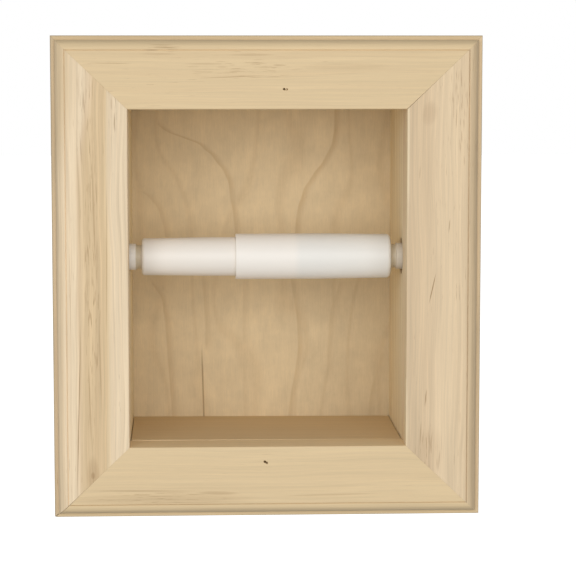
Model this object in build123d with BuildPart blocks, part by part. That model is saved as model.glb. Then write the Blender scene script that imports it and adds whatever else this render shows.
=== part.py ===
"""Recessed toilet paper holder: a mitred pine face frame on a four-board box with a
plywood back, and a spring-loaded plastic roller held between two drilled sockets.

Millimetres. +Z is up and the front faces -Y. The origin is the centre of the opening,
in the plane where the back of the face frame meets the wall.
"""

from build123d import *
import os
from itertools import product
from math import atan2, degrees

os.makedirs("parts", exist_ok=True)

# Face frame: 8 x 9 in outside, sawn from 3/4 in moulding
frame_width = 203.2
frame_height = 228.6
frame_thickness = 19.0
stile_width = 36.0
rail_width = 34.4

# Moulded outer edge of the frame: lip, fillet, quarter-ellipse ovolo and quirk
lip_width = 2.0
lip_depth = 6.5
fillet_height = 0.4
ovolo_width = 5.05
quirk_height = 0.45
arris_radius = 0.6

# Relief groove in the back of the moulding, clear of the box
relief_inset = 10.5
relief_width = 5.5
relief_depth = 1.2

# Saw gaps of the mitres, at the outer and at the inner corner of each joint
mitre_gaps = {
    (-1, 1): (0.10, 0.14),
    (1, 1): (0.02, 0.40),
    (-1, -1): (0.34, 0.02),
    (1, -1): (0.02, 0.04),
}

# Box behind the frame: 3/4 in boards with a thin plywood back
board_thickness = 19.0
board_depth = 70.0
back_thickness = 5.5
board_end_gap = 0.25
board_easing = 0.35
floor_rise_left = 0.50
floor_rise_right = 0.05

# Spring roller: inch-size tubes on a common axis
axis_y = 9.6
axis_z = 8.3
outer_radius = 11.0
outer_wall = 1.35
outer_left = -14.6
outer_right = 60.2
inner_radius = 9.35
inner_wall = 1.3
inner_left = -59.8
inner_right = 15.3
end_wall = 2.1
end_rounding_outer = 2.0
end_rounding_inner = 1.5
mouth_chamfer = 0.25
neck_radius = 5.7
neck_length = 2.6
knob_radius = 6.35
knob_rounding = 0.5
tip_rounding = 2.2
core_radius = 3.5
tip_wall = 2.4

# Drilled sockets for the roller's knobs
socket_radius = 8.75
socket_depth = 8.0
tip_gap = 0.2

# Spring inside the tubes
wire_radius = 0.5
coil_radius = 6.75
coil_turns = 20
coil_end_gap = 0.2

# Brads and mitre nails
brad_radius = 0.65
brad_head_radius = 1.05
brad_head_height = 0.8
corner_brad_length = 38.0
frame_brad_length = 38.0
back_brad_length = 25.0
brad_sink = 1.2
back_brad_sink = 0.3
v_nail_leg = 4.5
v_nail_gauge = 0.6
v_nail_height = 9.0
v_nail_sink = 0.3
v_nail_along = (0.22, 0.72)

# Worked out from the sizes above
opening_x = frame_width / 2 - stile_width
opening_z = frame_height / 2 - rail_width
box_x = opening_x + board_thickness
box_z = opening_z + board_thickness
wall_plane = Plane.XZ
roller_axis = Axis((0, axis_y, axis_z), (1, 0, 0))
roller_plane = Plane(origin=(0, axis_y, axis_z), x_dir=(1, 0, 0), z_dir=(0, -1, 0))
knob_end = opening_x + socket_depth - tip_gap


def finish_part(part, name):
    """Labels a finished piece and writes its STEP file."""
    part.label = name
    export_step(part, f"parts/{name}.step")


# ---------------------------------------------------------------- fasteners
def brad(length):
    """One brad along local -Z, with the top of its head at the local origin."""
    with BuildPart() as one:
        with Locations((0, 0, -brad_head_height)):
            Cylinder(
                brad_head_radius,
                brad_head_height,
                align=(Align.CENTER, Align.CENTER, Align.MIN),
            )
        Cylinder(brad_radius, length, align=(Align.CENTER, Align.CENTER, Align.MAX))
    return one.part


def head_recesses(places, depth):
    """Holes above sunk brad heads, up to the surface of the wood."""
    with BuildPart() as recesses:
        with Locations(*places):
            Cylinder(
                brad_head_radius, depth, align=(Align.CENTER, Align.CENTER, Align.MIN)
            )
    return recesses.part


# Through the sides into the ends of the top and bottom boards
corner_brad_places = [
    Plane(
        origin=(sx * (box_x - brad_sink), y, sz * (opening_z + board_thickness / 2)),
        z_dir=(sx, 0, 0),
    )
    for sx, sz, y in product((-1, 1), (-1, 1), (16.0, 54.0))
]
with BuildPart() as box_corner_brads:
    with Locations(*corner_brad_places):
        add(brad(corner_brad_length))
finish_part(box_corner_brads.part, "box_corner_brads")

# Through the face of the frame into the front edges of the top and bottom boards
frame_brad_places = [
    Plane(origin=(x, -frame_thickness + brad_sink, z), z_dir=(0, -1, 0))
    for x, z in ((8.2, 89.1), (-1.1, -87.5))
]
with BuildPart() as frame_brads:
    with Locations(*frame_brad_places):
        add(brad(frame_brad_length))
finish_part(frame_brads.part, "frame_brads")

# Through the back panel into the rear edges of all four boards
board_centre_x = opening_x + board_thickness / 2
board_centre_z = opening_z + board_thickness / 2
back_brad_points = [
    (sx * board_centre_x, z) for sx, z in product((-1, 1), (-62.0, 0.0, 62.0))
] + [(x, sz * board_centre_z) for x, sz in product((-34.0, 34.0), (-1, 1))]
back_face_y = board_depth + back_thickness
back_brad_places = [
    Plane(origin=(x, back_face_y - back_brad_sink, z), z_dir=(0, 1, 0))
    for x, z in back_brad_points
]
with BuildPart() as back_panel_brads:
    with Locations(*back_brad_places):
        add(brad(back_brad_length))
finish_part(back_panel_brads.part, "back_panel_brads")


def v_nail_sites():
    """Middle of each V nail in X and Z, and the direction of its mitre in degrees."""
    sites = []
    for (sx, sz), share in product(mitre_gaps, v_nail_along):
        x = sx * (frame_width / 2 - share * stile_width)
        z = sz * (frame_height / 2 - share * rail_width)
        sites.append((x, z, degrees(atan2(-sz * rail_width, -sx * stile_width))))
    return sites


# V-shaped nails driven into the back of each mitre, two to a corner
with BuildPart() as mitre_v_nails:
    with BuildSketch(wall_plane.offset(v_nail_sink)):
        for x, z, heading in v_nail_sites():
            with Locations((x, z)):
                for leg_turn in (-45, 45):
                    Rectangle(
                        v_nail_leg,
                        v_nail_gauge,
                        rotation=heading + leg_turn,
                        align=(Align.MIN, Align.CENTER),
                    )
    extrude(amount=v_nail_height)
finish_part(mitre_v_nails.part, "mitre_v_nails")


# ---------------------------------------------------------------- face frame
def moulding_section(face_width, outward, reach):
    """Section of the moulding: local X runs in from the outer edge, local Y to the front."""
    inward = Vector(*outward) * -1
    plane = Plane(
        origin=Vector(*outward) * reach,
        x_dir=inward,
        z_dir=inward.cross(Vector(0, -1, 0)),
    )
    lip_y = frame_thickness - lip_depth
    ovolo_start = lip_y + fillet_height
    ovolo_height = lip_depth - fillet_height - quirk_height
    ovolo_top_x = lip_width + ovolo_width
    with BuildSketch(plane) as section:
        with BuildLine():
            Polyline(
                (ovolo_top_x, ovolo_start + ovolo_height),
                (ovolo_top_x, frame_thickness),
                (face_width - arris_radius, frame_thickness),
            )
            RadiusArc(
                (face_width - arris_radius, frame_thickness),
                (face_width, frame_thickness - arris_radius),
                arris_radius,
            )
            Polyline(
                (face_width, frame_thickness - arris_radius),
                (face_width, 0),
                (relief_inset + relief_width, 0),
                (relief_inset + relief_width, relief_depth),
                (relief_inset, relief_depth),
                (relief_inset, 0),
                (0, 0),
                (0, lip_y - arris_radius),
            )
            RadiusArc((0, lip_y - arris_radius), (arris_radius, lip_y), arris_radius)
            Polyline((arris_radius, lip_y), (lip_width, lip_y), (lip_width, ovolo_start))
            EllipticalCenterArc(
                (ovolo_top_x, ovolo_start),
                ovolo_width,
                ovolo_height,
                start_angle=90,
                arc_size=90,
            )
        make_face()
    return section.sketch


def mitre_plane(sx, sz, outer_gap=0.0, inner_gap=0.0):
    """Saw cut of one corner, its normal towards the rail; the gaps shorten the rail."""
    outer = Vector(sx * (frame_width / 2 - outer_gap), 0, sz * frame_height / 2)
    inner = Vector(sx * (opening_x - inner_gap), 0, sz * opening_z)
    along = inner - outer
    return Plane(origin=outer, z_dir=along.cross(Vector(0, -sx * sz, 0)))


with BuildPart() as frame_top_rail:
    extrude(
        moulding_section(rail_width, (0, 0, 1), frame_height / 2),
        amount=frame_width / 2,
        both=True,
    )
    for side in (-1, 1):
        split(bisect_by=mitre_plane(side, 1, *mitre_gaps[side, 1]), keep=Keep.TOP)
    add(mitre_v_nails.part, mode=Mode.SUBTRACT)
    add(frame_brads.part, mode=Mode.SUBTRACT)
    add(head_recesses([frame_brad_places[0]], brad_sink), mode=Mode.SUBTRACT)
finish_part(frame_top_rail.part, "frame_top_rail")

with BuildPart() as frame_bottom_rail:
    extrude(
        moulding_section(rail_width, (0, 0, -1), frame_height / 2),
        amount=frame_width / 2,
        both=True,
    )
    for side in (-1, 1):
        split(bisect_by=mitre_plane(side, -1, *mitre_gaps[side, -1]), keep=Keep.TOP)
    add(mitre_v_nails.part, mode=Mode.SUBTRACT)
    add(frame_brads.part, mode=Mode.SUBTRACT)
    add(head_recesses([frame_brad_places[1]], brad_sink), mode=Mode.SUBTRACT)
finish_part(frame_bottom_rail.part, "frame_bottom_rail")

with BuildPart() as frame_left_stile:
    extrude(
        moulding_section(stile_width, (-1, 0, 0), frame_width / 2),
        amount=frame_height / 2,
        both=True,
    )
    for end in (-1, 1):
        split(bisect_by=mitre_plane(-1, end), keep=Keep.BOTTOM)
    add(mitre_v_nails.part, mode=Mode.SUBTRACT)
finish_part(frame_left_stile.part, "frame_left_stile")

with BuildPart() as frame_right_stile:
    extrude(
        moulding_section(stile_width, (1, 0, 0), frame_width / 2),
        amount=frame_height / 2,
        both=True,
    )
    for end in (-1, 1):
        split(bisect_by=mitre_plane(1, end), keep=Keep.BOTTOM)
    add(mitre_v_nails.part, mode=Mode.SUBTRACT)
finish_part(frame_right_stile.part, "frame_right_stile")


# ---------------------------------------------------------------- box
with BuildPart() as box_top_board:
    with BuildSketch(wall_plane):
        with Locations((0, board_centre_z)):
            Rectangle(2 * (opening_x - board_end_gap), board_thickness)
    extrude(amount=-board_depth)
    inner_front = edges().filter_by(Axis.X).group_by(Axis.Y)[0].sort_by(Axis.Z)[0]
    chamfer(inner_front, board_easing)
    for group in (box_corner_brads, frame_brads, back_panel_brads):
        add(group.part, mode=Mode.SUBTRACT)
finish_part(box_top_board.part, "box_top_board")

# The floor board's upper face stands slightly above the rail, more so on the left
with BuildPart() as box_bottom_board:
    board_end = opening_x - board_end_gap
    with BuildSketch(wall_plane):
        with BuildLine():
            Polyline(
                (-board_end, -box_z),
                (board_end, -box_z),
                (board_end, -opening_z + floor_rise_right),
                (-board_end, -opening_z + floor_rise_left),
                close=True,
            )
        make_face()
    extrude(amount=-board_depth)
    for group in (box_corner_brads, frame_brads, back_panel_brads):
        add(group.part, mode=Mode.SUBTRACT)
finish_part(box_bottom_board.part, "box_bottom_board")

with BuildPart() as box_left_side:
    with BuildSketch(wall_plane):
        with Locations((-board_centre_x, 0)):
            Rectangle(board_thickness, 2 * box_z)
    extrude(amount=-board_depth)
    inner_front = edges().filter_by(Axis.Z).group_by(Axis.Y)[0].sort_by(Axis.X)[-1]
    chamfer(inner_front, board_easing)
    with Locations(Plane(origin=(-opening_x, axis_y, axis_z), z_dir=(1, 0, 0))):
        Hole(socket_radius, socket_depth)
    for group in (box_corner_brads, back_panel_brads):
        add(group.part, mode=Mode.SUBTRACT)
    add(head_recesses(corner_brad_places, brad_sink), mode=Mode.SUBTRACT)
finish_part(box_left_side.part, "box_left_side")

with BuildPart() as box_right_side:
    with BuildSketch(wall_plane):
        with Locations((board_centre_x, 0)):
            Rectangle(board_thickness, 2 * box_z)
    extrude(amount=-board_depth)
    inner_front = edges().filter_by(Axis.Z).group_by(Axis.Y)[0].sort_by(Axis.X)[0]
    chamfer(inner_front, board_easing)
    with Locations(Plane(origin=(opening_x, axis_y, axis_z), z_dir=(-1, 0, 0))):
        Hole(socket_radius, socket_depth)
    for group in (box_corner_brads, back_panel_brads):
        add(group.part, mode=Mode.SUBTRACT)
    add(head_recesses(corner_brad_places, brad_sink), mode=Mode.SUBTRACT)
finish_part(box_right_side.part, "box_right_side")

with BuildPart() as back_panel:
    with BuildSketch(wall_plane.offset(-board_depth)):
        Rectangle(2 * box_x, 2 * box_z)
    extrude(amount=-back_thickness)
    add(back_panel_brads.part, mode=Mode.SUBTRACT)
    add(head_recesses(back_brad_places, back_brad_sink), mode=Mode.SUBTRACT)
finish_part(back_panel.part, "back_panel")


# ---------------------------------------------------------------- roller
def tube_section(side, closed_x, open_x, radius, wall, rounding):
    """Half section of a tube with one closed, knobbed end; side is its closed end's sign."""
    core = side * (knob_end - tip_wall)
    neck_out = closed_x + side * neck_length
    tip = side * knob_end
    bore = radius - wall
    cap_inside = closed_x - side * end_wall
    with BuildSketch(roller_plane) as section:
        with BuildLine():
            Polyline(
                (open_x, bore),
                (open_x, radius - mouth_chamfer),
                (open_x + side * mouth_chamfer, radius),
                (closed_x, radius),
                (closed_x, neck_radius),
                (neck_out, neck_radius),
                (neck_out, knob_radius),
                (tip, knob_radius),
                (tip, 0),
                (core, 0),
                (core, core_radius),
                (cap_inside, core_radius),
                (cap_inside, bore),
                close=True,
            )
        make_face()
        for x, r, size in (
            (closed_x, radius, rounding),
            (neck_out, knob_radius, knob_rounding),
            (tip, knob_radius, tip_rounding),
        ):
            fillet(section.vertices().sort_by_distance((x, r, 0))[0], size)
    return section.sketch


with BuildPart() as roller_outer_tube:
    revolve(
        tube_section(1, outer_right, outer_left, outer_radius, outer_wall, end_rounding_outer),
        axis=roller_axis,
    )
finish_part(roller_outer_tube.part, "roller_outer_tube")

with BuildPart() as roller_inner_tube:
    revolve(
        tube_section(-1, inner_left, inner_right, inner_radius, inner_wall, end_rounding_inner),
        axis=roller_axis,
    )
finish_part(roller_inner_tube.part, "roller_inner_tube")

# Compression spring between the closed ends of the two tubes
coil_start = inner_left + end_wall + coil_end_gap + wire_radius
coil_length = outer_right - end_wall - coil_end_gap - wire_radius - coil_start
with BuildPart() as roller_spring:
    with BuildLine():
        coil = Helix(
            pitch=coil_length / coil_turns,
            height=coil_length,
            radius=coil_radius,
            center=(coil_start, axis_y, axis_z),
            direction=(1, 0, 0),
        )
    with BuildSketch(Plane(origin=coil @ 0, z_dir=coil % 0)):
        Circle(wire_radius)
    sweep()
finish_part(roller_spring.part, "roller_spring")

travel = outer_right - end_wall - inner_right
print(f"opening {2 * opening_x:.1f} x {2 * opening_z:.1f}, box {2 * box_x:.1f} x {2 * box_z:.1f}")
print(f"roller can be pressed together {travel:.1f} before its tubes meet")
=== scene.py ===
"""Recessed toilet paper holder: a moulded pine face frame on a board box with a birch plywood
back and a white plastic spring roller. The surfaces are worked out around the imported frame.
"""

from math import cos, pi, radians, sin

import bmesh
import bpy
import numpy as np
from bpy.props import FloatProperty, FloatVectorProperty, IntProperty, PointerProperty
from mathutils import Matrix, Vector


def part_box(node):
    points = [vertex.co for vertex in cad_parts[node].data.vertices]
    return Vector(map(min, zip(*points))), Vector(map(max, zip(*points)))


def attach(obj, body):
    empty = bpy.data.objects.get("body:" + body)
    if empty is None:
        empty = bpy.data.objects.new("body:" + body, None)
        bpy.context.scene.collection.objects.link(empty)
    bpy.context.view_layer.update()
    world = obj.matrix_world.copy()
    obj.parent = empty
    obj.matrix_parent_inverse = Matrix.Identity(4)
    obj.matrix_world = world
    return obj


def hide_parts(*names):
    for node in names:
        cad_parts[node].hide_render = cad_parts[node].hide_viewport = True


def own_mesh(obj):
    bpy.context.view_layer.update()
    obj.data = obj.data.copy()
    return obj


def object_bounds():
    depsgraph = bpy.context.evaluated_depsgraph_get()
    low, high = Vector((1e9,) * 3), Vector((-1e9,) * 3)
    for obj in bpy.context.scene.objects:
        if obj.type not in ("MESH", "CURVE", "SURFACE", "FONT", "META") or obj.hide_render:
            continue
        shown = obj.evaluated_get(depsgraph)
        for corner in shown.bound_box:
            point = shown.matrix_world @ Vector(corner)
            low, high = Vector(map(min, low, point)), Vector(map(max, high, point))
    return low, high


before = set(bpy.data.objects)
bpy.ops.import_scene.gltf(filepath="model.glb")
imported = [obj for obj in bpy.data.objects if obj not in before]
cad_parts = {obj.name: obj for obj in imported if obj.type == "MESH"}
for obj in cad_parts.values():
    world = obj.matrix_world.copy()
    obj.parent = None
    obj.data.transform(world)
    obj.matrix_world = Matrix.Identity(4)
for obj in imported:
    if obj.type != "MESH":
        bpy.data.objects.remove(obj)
cad_low, cad_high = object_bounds()

bl_info = {
    "name": "Recessed Paper Holder",
    "version": (1, 0, 0),
    "blender": (4, 5, 0),
    "location": "3D View > Sidebar > Paper Holder",
    "description": "Builds a recessed pine paper holder with its spring roller",
    "category": "Add Mesh",
}

MM = 0.001
WELD = 0.002 * MM
SUPPORT = 0.3 * MM

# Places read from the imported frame
stile_low, stile_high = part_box("frame_left_stile")
rail_low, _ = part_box("frame_top_rail")
side_low, side_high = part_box("box_right_side")
panel_low, panel_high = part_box("back_panel")
outer_low, outer_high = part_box("roller_outer_tube")
inner_low, inner_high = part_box("roller_inner_tube")
HALF_WIDTH, HALF_HEIGHT = -stile_low.x, stile_high.z
THICKNESS = -stile_low.y
OPENING_X, OPENING_Z = -stile_high.x, rail_low.z
STILE_WIDTH, RAIL_WIDTH = HALF_WIDTH - OPENING_X, HALF_HEIGHT - OPENING_Z
AXIS_Y = (outer_low.y + outer_high.y) / 2
AXIS_Z = (outer_low.z + outer_high.z) / 2
BOARD = side_high.x - side_low.x


# ---------------------------------------------------------------- properties
def length(name, description, millimetres):
    """A length property, given in millimetres and kept in metres."""
    return FloatProperty(
        name=name, description=description, default=millimetres * MM, min=0.0,
        unit="LENGTH", subtype="DISTANCE", precision=5,
    )


def colour(name, description, red, green, blue):
    """A colour property, given as display values from 0 to 255."""
    return FloatVectorProperty(
        name=name, description=description, default=linear(red, green, blue)[:3],
        size=3, min=0.0, max=1.0, subtype="COLOR",
    )


def linear(red, green, blue):
    """Display values from 0 to 255 as a linear colour with full alpha."""
    share = np.array([red, green, blue]) / 255.0
    low, high = share / 12.92, ((share + 0.055) / 1.055) ** 2.4
    return (*np.where(share <= 0.04045, low, high).tolist(), 1.0)


class MouldingSettings(bpy.types.PropertyGroup):
    """Sizes of the moulding that the face frame is cut from."""

    lip_width: length("Lip width", "Flat lip along the outer edge", 2.0)
    lip_depth: length("Lip depth", "Lip below the face of the frame", 6.5)
    fillet: length("Fillet", "Small step up from the lip", 0.4)
    ovolo_width: length("Ovolo width", "Width of the quarter-ellipse curve", 5.05)
    quirk: length("Quirk", "Small step up from the curve to the face", 0.45)
    quirk_width: length("Quirk width", "Width of the groove beside the face", 0.45)
    quirk_depth: length("Quirk depth", "Groove below the top of the curve", 0.35)
    quirk_round: length("Quirk rounding", "Rounding of the face's edge at the quirk", 0.18)
    arris: length("Arris", "Rounding of the long edges", 0.6)
    back_arris: length("Back arris", "Rounding of the outer back edge", 0.3)
    groove_inset: length("Groove inset", "Relief groove in the back, from the edge", 10.5)
    groove_width: length("Groove width", "Width of the relief groove", 5.5)
    groove_depth: length("Groove depth", "Depth of the relief groove", 1.2)
    mitre_easing: length("Mitre easing", "Sanded-off edge at each mitre", 0.04)


class BoxSettings(bpy.types.PropertyGroup):
    """Sizes of the boards and the back panel."""

    easing: length("Easing", "Rounding of the boards' edges", 0.35)
    panel_easing: length("Panel easing", "Rounding of the plywood's edges", 0.2)
    floor_rise_left: length("Floor rise, left", "Floor board above the rail, left", 0.50)
    floor_rise_right: length("Floor rise, right", "Floor board above the rail, right", 0.05)
    socket_radius: length("Socket radius", "Radius of the drilled sockets", 8.75)
    socket_depth: length("Socket depth", "Depth of the drilled sockets", 8.0)
    spur: length("Spur mark", "Radius and depth of the drill's centre mark", 1.0)
    brad_hole: length("Brad hole", "Radius of the hole over a sunk brad", 1.05)
    brad_sink: length("Brad sink", "Depth of the brads in the sides", 1.2)
    panel_brad_sink: length("Panel brad sink", "Depth of the brads in the back", 0.3)


class RollerSettings(bpy.types.PropertyGroup):
    """Sizes of the two telescoping tubes and their spring."""

    outer_wall: length("Outer wall", "Wall of the thicker tube", 1.35)
    inner_wall: length("Inner wall", "Wall of the thinner tube", 1.3)
    outer_shoulder: length("Outer shoulder", "Closed end of the thicker tube in X", 60.2)
    inner_shoulder: length("Inner shoulder", "Closed end of the thinner tube in X", 59.8)
    outer_rounding: length("Outer rounding", "Rounding of the thicker tube's shoulder", 2.0)
    inner_rounding: length("Inner rounding", "Rounding of the thinner tube's shoulder", 1.5)
    draft: length("Draft", "Narrowing of the tubes towards their closed ends", 0.4)
    draft_length: length("Draft length", "Length over which the tubes narrow", 36.0)
    end_wall: length("End wall", "Thickness of the closed ends", 2.1)
    mouth: length("Mouth chamfer", "Chamfer round the open ends", 0.25)
    neck_radius: length("Neck radius", "Radius of the necks", 5.7)
    neck_length: length("Neck length", "Length of the necks", 2.6)
    knob_radius: length("Knob radius", "Radius of the knobs", 6.35)
    knob_rounding: length("Knob rounding", "Inner edge of the knobs", 0.5)
    tip_rounding: length("Tip rounding", "Outer edge of the knobs", 2.2)
    core_radius: length("Core radius", "Hollow behind each knob", 3.5)
    tip_wall: length("Tip wall", "Thickness of the knob's end", 2.4)
    wire_radius: length("Wire radius", "Radius of the spring's wire", 0.5)
    coil_radius: length("Coil radius", "Radius of the spring's centre line", 6.75)
    coil_turns: IntProperty(
        name="Coil turns", description="Turns of the spring", default=20, min=4, max=60
    )


class FinishSettings(bpy.types.PropertyGroup):
    """Colours of the finishes."""

    gold_pine: colour("Golden pine", "Yellow-tan wood of the rails", 228, 203, 161)
    side_pine: colour("Side pine", "Wood of the side boards", 245, 229, 194)
    top_pine: colour("Top pine", "Wood of the top board", 238, 218, 180)
    # Painted shade: the floor board's pine is darker than the top board's
    shaded_floor_pine: colour("Floor pine", "Wood of the floor board", 214, 188, 147)
    latewood: colour("Latewood", "Dark side of the growth rings", 186, 148, 100)
    streak: colour("Streak", "Resin canals and fine streaks", 140, 100, 56)
    # Painted shade in the dents over the brads and in the brad holes
    bruise: colour("Bruise", "Crushed wood over a sunk brad", 74, 50, 22)
    end_grain: colour("End grain", "Sawn ends of the boards", 176, 138, 92)
    birch: colour("Birch", "Face veneer of the plywood", 223, 201, 162)
    birch_dark: colour("Birch figure", "Darker figure of the veneer", 192, 161, 116)
    split: colour("Split", "Open split in the veneer", 128, 94, 54)
    inner_ply: colour("Inner ply", "Middle ply, seen at the edges", 168, 128, 84)
    plastic: colour("Plastic", "Skin of the thinner tube", 247, 240, 230)
    # Painted light: the sleeve is lighter where the inner tube lies behind its thin wall and
    # throws light back
    thick_plastic: colour("Double plastic", "Skin where the tubes overlap", 250, 244, 235)
    thin_plastic: colour("Single plastic", "Skin of the empty sleeve", 242, 239, 232)
    # Painted shade and reflected wood colour on the necks and on the sleeve's knob, in the gap by
    # the sockets
    shaded_neck_plastic: colour("Neck plastic", "Grubby necks", 208, 194, 168)
    shaded_knob_plastic: colour("Knob plastic", "Yellowed knob of the sleeve", 222, 210, 191)
    steel: colour("Steel", "Brads and mitre nails", 178, 176, 172)
    # The sunk brads of the face frame are a dark brown steel
    dark_brad: colour("Tarnished steel", "Sunk brads of the face frame", 66, 50, 30)
    spring: colour("Spring steel", "Drawn spring wire", 150, 148, 146)
    rust: colour("Rust", "Tarnish in patches on all steel", 112, 92, 72)


class StageSettings(bpy.types.PropertyGroup):
    """Camera, lights and floor."""

    eye: FloatVectorProperty(
        name="Eye", description="Where the camera stands", size=3, subtype="XYZ",
        unit="LENGTH", default=(-0.0399, -1.0914, 0.1103),
    )
    heading: FloatProperty(
        name="Heading", description="Turn of the view towards +X", subtype="ANGLE",
        default=0.0460,
    )
    tilt: FloatProperty(
        name="Tilt", description="Downward tilt of the view", subtype="ANGLE",
        default=0.1062,
    )
    lens: FloatProperty(
        name="Lens", description="Focal length on a 36 mm sensor", default=143.06,
        unit="CAMERA",
    )
    floor_drop: length("Floor drop", "Floor below the object", 120.0)
    key_place: FloatVectorProperty(
        name="Key place", description="Where the window light hangs", size=3, subtype="XYZ",
        unit="LENGTH", default=(-0.32, -2.5, 0.28),
    )
    sky: FloatProperty(name="Sky", description="Strength of the even light", default=0.47)
    key: FloatProperty(
        name="Key", description="Power of the soft window light", default=48.0,
        unit="POWER",
    )


# ---------------------------------------------------------------- mesh work
class Skin:
    """Grids of points gathered into one closed mesh, welded where their edges meet."""

    def __init__(self):
        self.points, self.faces, self.marks = [], [], []
        self.count = 0

    def add(self, points, wrap=False, marks=None):
        """Adds rows x columns of points, with a face between each four neighbours."""
        rows, columns = points.shape[:2]
        index = self.count + np.arange(rows * columns).reshape(rows, columns)
        if wrap:
            index = np.hstack([index, index[:, :1]])
        corners = (index[:-1, :-1], index[1:, :-1], index[1:, 1:], index[:-1, 1:])
        self.faces.append(np.stack(corners, -1).reshape(-1, 4))
        self.points.append(points.reshape(-1, 3))
        self.marks.append(np.zeros(rows * columns) if marks is None else marks.ravel())
        self.count += rows * columns

    def make(self, name, material, sharp=35.0):
        """The object: doubles merged, faces turned outwards, creases above sharp degrees."""
        mesh = bpy.data.meshes.new(name)
        mesh.from_pydata(np.vstack(self.points), [], np.vstack(self.faces))
        # The depth of the dents and holes, which the pine darkens as painted shade
        bruise = mesh.attributes.new("bruise", "FLOAT", "POINT")
        bruise.data.foreach_set("value", np.concatenate(self.marks).astype(np.float32))
        work = bmesh.new()
        work.from_mesh(mesh)
        bmesh.ops.remove_doubles(work, verts=work.verts, dist=WELD)
        bmesh.ops.dissolve_degenerate(work, edges=work.edges, dist=WELD)
        bmesh.ops.recalc_face_normals(work, faces=work.faces)
        work.to_mesh(mesh)
        work.free()
        mesh.shade_smooth()
        mesh.set_sharp_from_angle(angle=radians(sharp))
        mesh.materials.append(material)
        piece = bpy.data.objects.new(name, mesh)
        bpy.context.scene.collection.objects.link(piece)
        return piece


def arc(centre_a, centre_b, radius_a, radius_b, start, stop, steps):
    """Points of an elliptical arc: the centre plus each radius times cosine and sine."""
    angle = np.radians(np.linspace(start, stop, steps + 1))
    return np.column_stack(
        [centre_a + radius_a * np.cos(angle), centre_b + radius_b * np.sin(angle)]
    )


def stations(low, high, step, extra=()):
    """Sorted places from low to high about a step apart, with both ends supported, and the
    extra places that lie between them."""
    count = max(2, int(round((high - low) / step)) + 1)
    ends = [low, low + SUPPORT, high - SUPPORT, high]
    inside = [e for e in np.ravel(extra) if low + SUPPORT < e < high - SUPPORT]
    found = np.unique(np.concatenate([np.linspace(low, high, count), ends, inside]))
    keep = np.concatenate([[True], np.diff(found) > 4 * WELD])
    keep[-1] = True
    return found[keep]


def around(centres, reach, step):
    """Fine places round each centre, out to reach on both sides."""
    run = np.arange(-reach, reach + step / 2, step)
    return np.concatenate([centre + run for centre in centres])


def swell(low, high, value):
    """Smooth step from 0 at low to 1 at high."""
    share = np.clip((value - low) / (high - low), 0.0, 1.0)
    return share * share * (3.0 - 2.0 * share)


# ---------------------------------------------------------------- face frame
# Saw gaps of the mitres, at the outer and the inner corner, which shorten the rails. A gap
# closes with this power of the way along the mitre.
GAPS = {
    ("top", -1): (0.02 * MM, 0.03 * MM),
    ("top", 1): (0.01 * MM, 0.30 * MM),
    ("bottom", -1): (0.42 * MM, 0.02 * MM),
    ("bottom", 1): (0.02 * MM, 0.04 * MM),
}
GAP_POWER = 3
# Marks of the two sunk brads: each lobe is an offset along X and Z, a length, a width,
# a turn in degrees and a depth
BRAD_MARKS = {
    "top": (8.2 * MM, 89.1 * MM, [
        (-0.50, 0.24, 0.50, 0.44, 0, 1.30),
        (0.95, 0.20, 0.20, 0.46, 25, 0.75),
        (0.28, -0.16, 0.80, 0.18, 0, 0.50),
    ]),
    "bottom": (-1.1 * MM, -87.5 * MM, [
        (-0.34, 0.28, 0.60, 0.50, -40, 1.30),
        (0.44, -0.20, 0.58, 0.48, -40, 0.95),
    ]),
}
MARK_REACH = 2.2 * MM
MARK_STEP = 0.09 * MM
# The zone at each mitre ends this far inside the opening's corner, with rings at these shares
CORNER_ROOM = 6 * MM
CORNER_SHARES = [0.02, 0.08, 0.4, 0.7]
# Mitre nails: their inset as a share of the width, the leg's length, half its slot's width,
# the depth of the slot behind the sunk nail, and half the width of the slot's sloping wall
NAIL_SHARE = 0.22
NAIL_LEG = 4.6 * MM
NAIL_SLOT = 0.36 * MM
SLOT_DEPTH = 0.6 * MM
SLOT_EDGE = 0.06 * MM


def moulding_front(sizes, width, brad_inset):
    """Front of the section as inset and height, from the outer edge in: a quarter circle,
    the lip, the fillet, a quarter ellipse, the quirk, the flat and the inner arris."""
    lip = THICKNESS - sizes.lip_depth
    start = lip + sizes.fillet
    rise = THICKNESS - sizes.quirk - start
    crest = sizes.lip_width + sizes.ovolo_width
    groove = start + rise - sizes.quirk_depth
    fine = [] if brad_inset is None else around([brad_inset], MARK_REACH, MARK_STEP)
    flat = stations(crest + sizes.quirk_round, width - sizes.arris, 3 * MM, fine)
    return np.vstack([
        arc(sizes.arris, lip - sizes.arris, sizes.arris, sizes.arris, 180, 90, 6),
        [(sizes.arris + SUPPORT, lip), (sizes.lip_width, lip)],
        arc(crest - sizes.quirk_width, start, sizes.ovolo_width - sizes.quirk_width, rise,
            180, 90, 18),
        [(crest - 0.7 * sizes.quirk_width, groove), (crest, groove)],
        arc(crest + sizes.quirk_round, THICKNESS - sizes.quirk_round,
            sizes.quirk_round, sizes.quirk_round, 180, 90, 3),
        np.column_stack([flat[1:-1], np.full(len(flat) - 2, THICKNESS)]),
        arc(width - sizes.arris, THICKNESS - sizes.arris, sizes.arris, sizes.arris, 90, 0, 6),
    ])


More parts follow.
